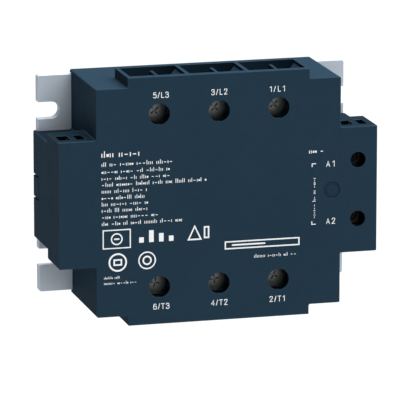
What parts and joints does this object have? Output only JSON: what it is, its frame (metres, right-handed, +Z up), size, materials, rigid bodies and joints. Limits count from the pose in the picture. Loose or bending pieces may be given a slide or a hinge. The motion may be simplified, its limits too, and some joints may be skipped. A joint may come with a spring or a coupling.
{
  "type": "solid state relay",
  "caption": "Touch-safe panel-mount solid state relay: a deep blue housing with clamp terminals along both ends and one side, on a slotted metal base plate.",
  "frame": {"origin": "centre of the base plate's flat back face", "axes": "+Y out of the back face into the panel, so the labelled front faces -Y; +X to the right of someone reading the front; +Z up, towards the line terminals"},
  "size_m": [0.1032, 0.0363, 0.0792],
  "materials": {
    "housing": "moulded, fine texture, dark blue",
    "base_plate": "satin, nickel plated",
    "tinned_copper": "tin plated copper strip",
    "zinc_steel": "zinc plated pressed steel",
    "screw_steel": "dark plated steel",
    "ceramic": "matte alumina with copper pads",
    "silicon": "polished die",
    "copper": "bare copper strip",
    "potting": "cast compound",
    "board": "green solder resist",
    "epoxy": "black moulded epoxy",
    "capacitor_sleeve": "shrink sleeve",
    "resistor": "lacquer",
    "led": "green diffusing lens",
    "light_pipe": "smoked clear plastic"
  },
  "bodies": {
    "housing_and_plate": {"housing": "housing", "base_plate": "base_plate", "terminal_l3": "tinned_copper", "terminal_l2": "tinned_copper", "terminal_l1": "tinned_copper", "terminal_t3": "tinned_copper", "terminal_t2": "tinned_copper", "terminal_t1": "tinned_copper", "terminal_a1": "tinned_copper", "terminal_a2": "tinned_copper", "substrate_3": "ceramic", "substrate_2": "ceramic", "substrate_1": "ceramic", "thyristor_die_l3": "silicon", "die_strip_l3": "copper", "gate_pin_l3": "copper", "thyristor_die_l2": "silicon", "die_strip_l2": "copper", "gate_pin_l2": "copper", "thyristor_die_l1": "silicon", "die_strip_l1": "copper", "gate_pin_l1": "copper", "thyristor_die_t3": "silicon", "die_strip_t3": "copper", "gate_pin_t3": "copper", "thyristor_die_t2": "silicon", "die_strip_t2": "copper", "gate_pin_t2": "copper", "thyristor_die_t1": "silicon", "die_strip_t1": "copper", "gate_pin_t1": "copper", "potting_layer": "potting", "control_board": "board", "optocoupler_3": "epoxy", "optocoupler_2": "epoxy", "optocoupler_1": "epoxy", "bridge_rectifier": "epoxy", "smoothing_capacitor": "capacitor_sleeve", "input_resistor": "resistor", "status_led": "led", "light_pipe": "light_pipe"},
    "clamp_plate_l3": {"clamp_plate_l3": "zinc_steel"},
    "clamp_screw_l3": {"clamp_screw_l3": "screw_steel"},
    "clamp_plate_l2": {"clamp_plate_l2": "zinc_steel"},
    "clamp_screw_l2": {"clamp_screw_l2": "screw_steel"},
    "clamp_plate_l1": {"clamp_plate_l1": "zinc_steel"},
    "clamp_screw_l1": {"clamp_screw_l1": "screw_steel"},
    "clamp_plate_t3": {"clamp_plate_t3": "zinc_steel"},
    "clamp_screw_t3": {"clamp_screw_t3": "screw_steel"},
    "clamp_plate_t2": {"clamp_plate_t2": "zinc_steel"},
    "clamp_screw_t2": {"clamp_screw_t2": "screw_steel"},
    "clamp_plate_t1": {"clamp_plate_t1": "zinc_steel"},
    "clamp_screw_t1": {"clamp_screw_t1": "screw_steel"},
    "clamp_plate_a1": {"clamp_plate_a1": "zinc_steel"},
    "clamp_screw_a1": {"clamp_screw_a1": "screw_steel"},
    "clamp_plate_a2": {"clamp_plate_a2": "zinc_steel"},
    "clamp_screw_a2": {"clamp_screw_a2": "screw_steel"}
  },
  "joints": [
    {"name": "clamp_plate_l3_slide", "type": "slide", "parent": "housing_and_plate", "child": "clamp_plate_l3", "axis": [0, -1, 0], "range_m": [0, 0.00315]},
    {"name": "clamp_screw_l3_turn", "type": "hinge", "parent": "clamp_plate_l3", "child": "clamp_screw_l3", "pos_m": [-0.01935, -0.03, 0.0276], "axis": [0, -1, 0], "range_deg": [0, 1620]},
    {"name": "clamp_plate_l2_slide", "type": "slide", "parent": "housing_and_plate", "child": "clamp_plate_l2", "axis": [0, -1, 0], "range_m": [0, 0.00315]},
    {"name": "clamp_screw_l2_turn", "type": "hinge", "parent": "clamp_plate_l2", "child": "clamp_screw_l2", "pos_m": [0, -0.03, 0.0276], "axis": [0, -1, 0], "range_deg": [0, 1620]},
    {"name": "clamp_plate_l1_slide", "type": "slide", "parent": "housing_and_plate", "child": "clamp_plate_l1", "axis": [0, -1, 0], "range_m": [0, 0.00315]},
    {"name": "clamp_screw_l1_turn", "type": "hinge", "parent": "clamp_plate_l1", "child": "clamp_screw_l1", "pos_m": [0.01935, -0.03, 0.0276], "axis": [0, -1, 0], "range_deg": [0, 1620]},
    {"name": "clamp_plate_t3_slide", "type": "slide", "parent": "housing_and_plate", "child": "clamp_plate_t3", "axis": [0, -1, 0], "range_m": [0, 0.00315]},
    {"name": "clamp_screw_t3_turn", "type": "hinge", "parent": "clamp_plate_t3", "child": "clamp_screw_t3", "pos_m": [-0.01935, -0.03, -0.0276], "axis": [0, -1, 0], "range_deg": [0, 1620]},
    {"name": "clamp_plate_t2_slide", "type": "slide", "parent": "housing_and_plate", "child": "clamp_plate_t2", "axis": [0, -1, 0], "range_m": [0, 0.00315]},
    {"name": "clamp_screw_t2_turn", "type": "hinge", "parent": "clamp_plate_t2", "child": "clamp_screw_t2", "pos_m": [0, -0.03, -0.0276], "axis": [0, -1, 0], "range_deg": [0, 1620]},
    {"name": "clamp_plate_t1_slide", "type": "slide", "parent": "housing_and_plate", "child": "clamp_plate_t1", "axis": [0, -1, 0], "range_m": [0, 0.00315]},
    {"name": "clamp_screw_t1_turn", "type": "hinge", "parent": "clamp_plate_t1", "child": "clamp_screw_t1", "pos_m": [0.01935, -0.03, -0.0276], "axis": [0, -1, 0], "range_deg": [0, 1620]},
    {"name": "clamp_plate_a1_slide", "type": "slide", "parent": "housing_and_plate", "child": "clamp_plate_a1", "axis": [0, -1, 0], "range_m": [0, 0.002]},
    {"name": "clamp_screw_a1_turn", "type": "hinge", "parent": "clamp_plate_a1", "child": "clamp_screw_a1", "pos_m": [0.0453, -0.0298, 0.0095], "axis": [0, -1, 0], "range_deg": [0, 1440]},
    {"name": "clamp_plate_a2_slide", "type": "slide", "parent": "housing_and_plate", "child": "clamp_plate_a2", "axis": [0, -1, 0], "range_m": [0, 0.002]},
    {"name": "clamp_screw_a2_turn", "type": "hinge", "parent": "clamp_plate_a2", "child": "clamp_screw_a2", "pos_m": [0.0453, -0.0298, -0.0095], "axis": [0, -1, 0], "range_deg": [0, 1440]}
  ],
  "couplings": [
    {"joint": "clamp_screw_l3_turn", "follows": "clamp_plate_l3_slide", "rad_per_m": 8976},
    {"joint": "clamp_screw_l2_turn", "follows": "clamp_plate_l2_slide", "rad_per_m": 8976},
    {"joint": "clamp_screw_l1_turn", "follows": "clamp_plate_l1_slide", "rad_per_m": 8976},
    {"joint": "clamp_screw_t3_turn", "follows": "clamp_plate_t3_slide", "rad_per_m": 8976},
    {"joint": "clamp_screw_t2_turn", "follows": "clamp_plate_t2_slide", "rad_per_m": 8976},
    {"joint": "clamp_screw_t1_turn", "follows": "clamp_plate_t1_slide", "rad_per_m": 8976},
    {"joint": "clamp_screw_a1_turn", "follows": "clamp_plate_a1_slide", "rad_per_m": 12566},
    {"joint": "clamp_screw_a2_turn", "follows": "clamp_plate_a2_slide", "rad_per_m": 12566}
  ]
}
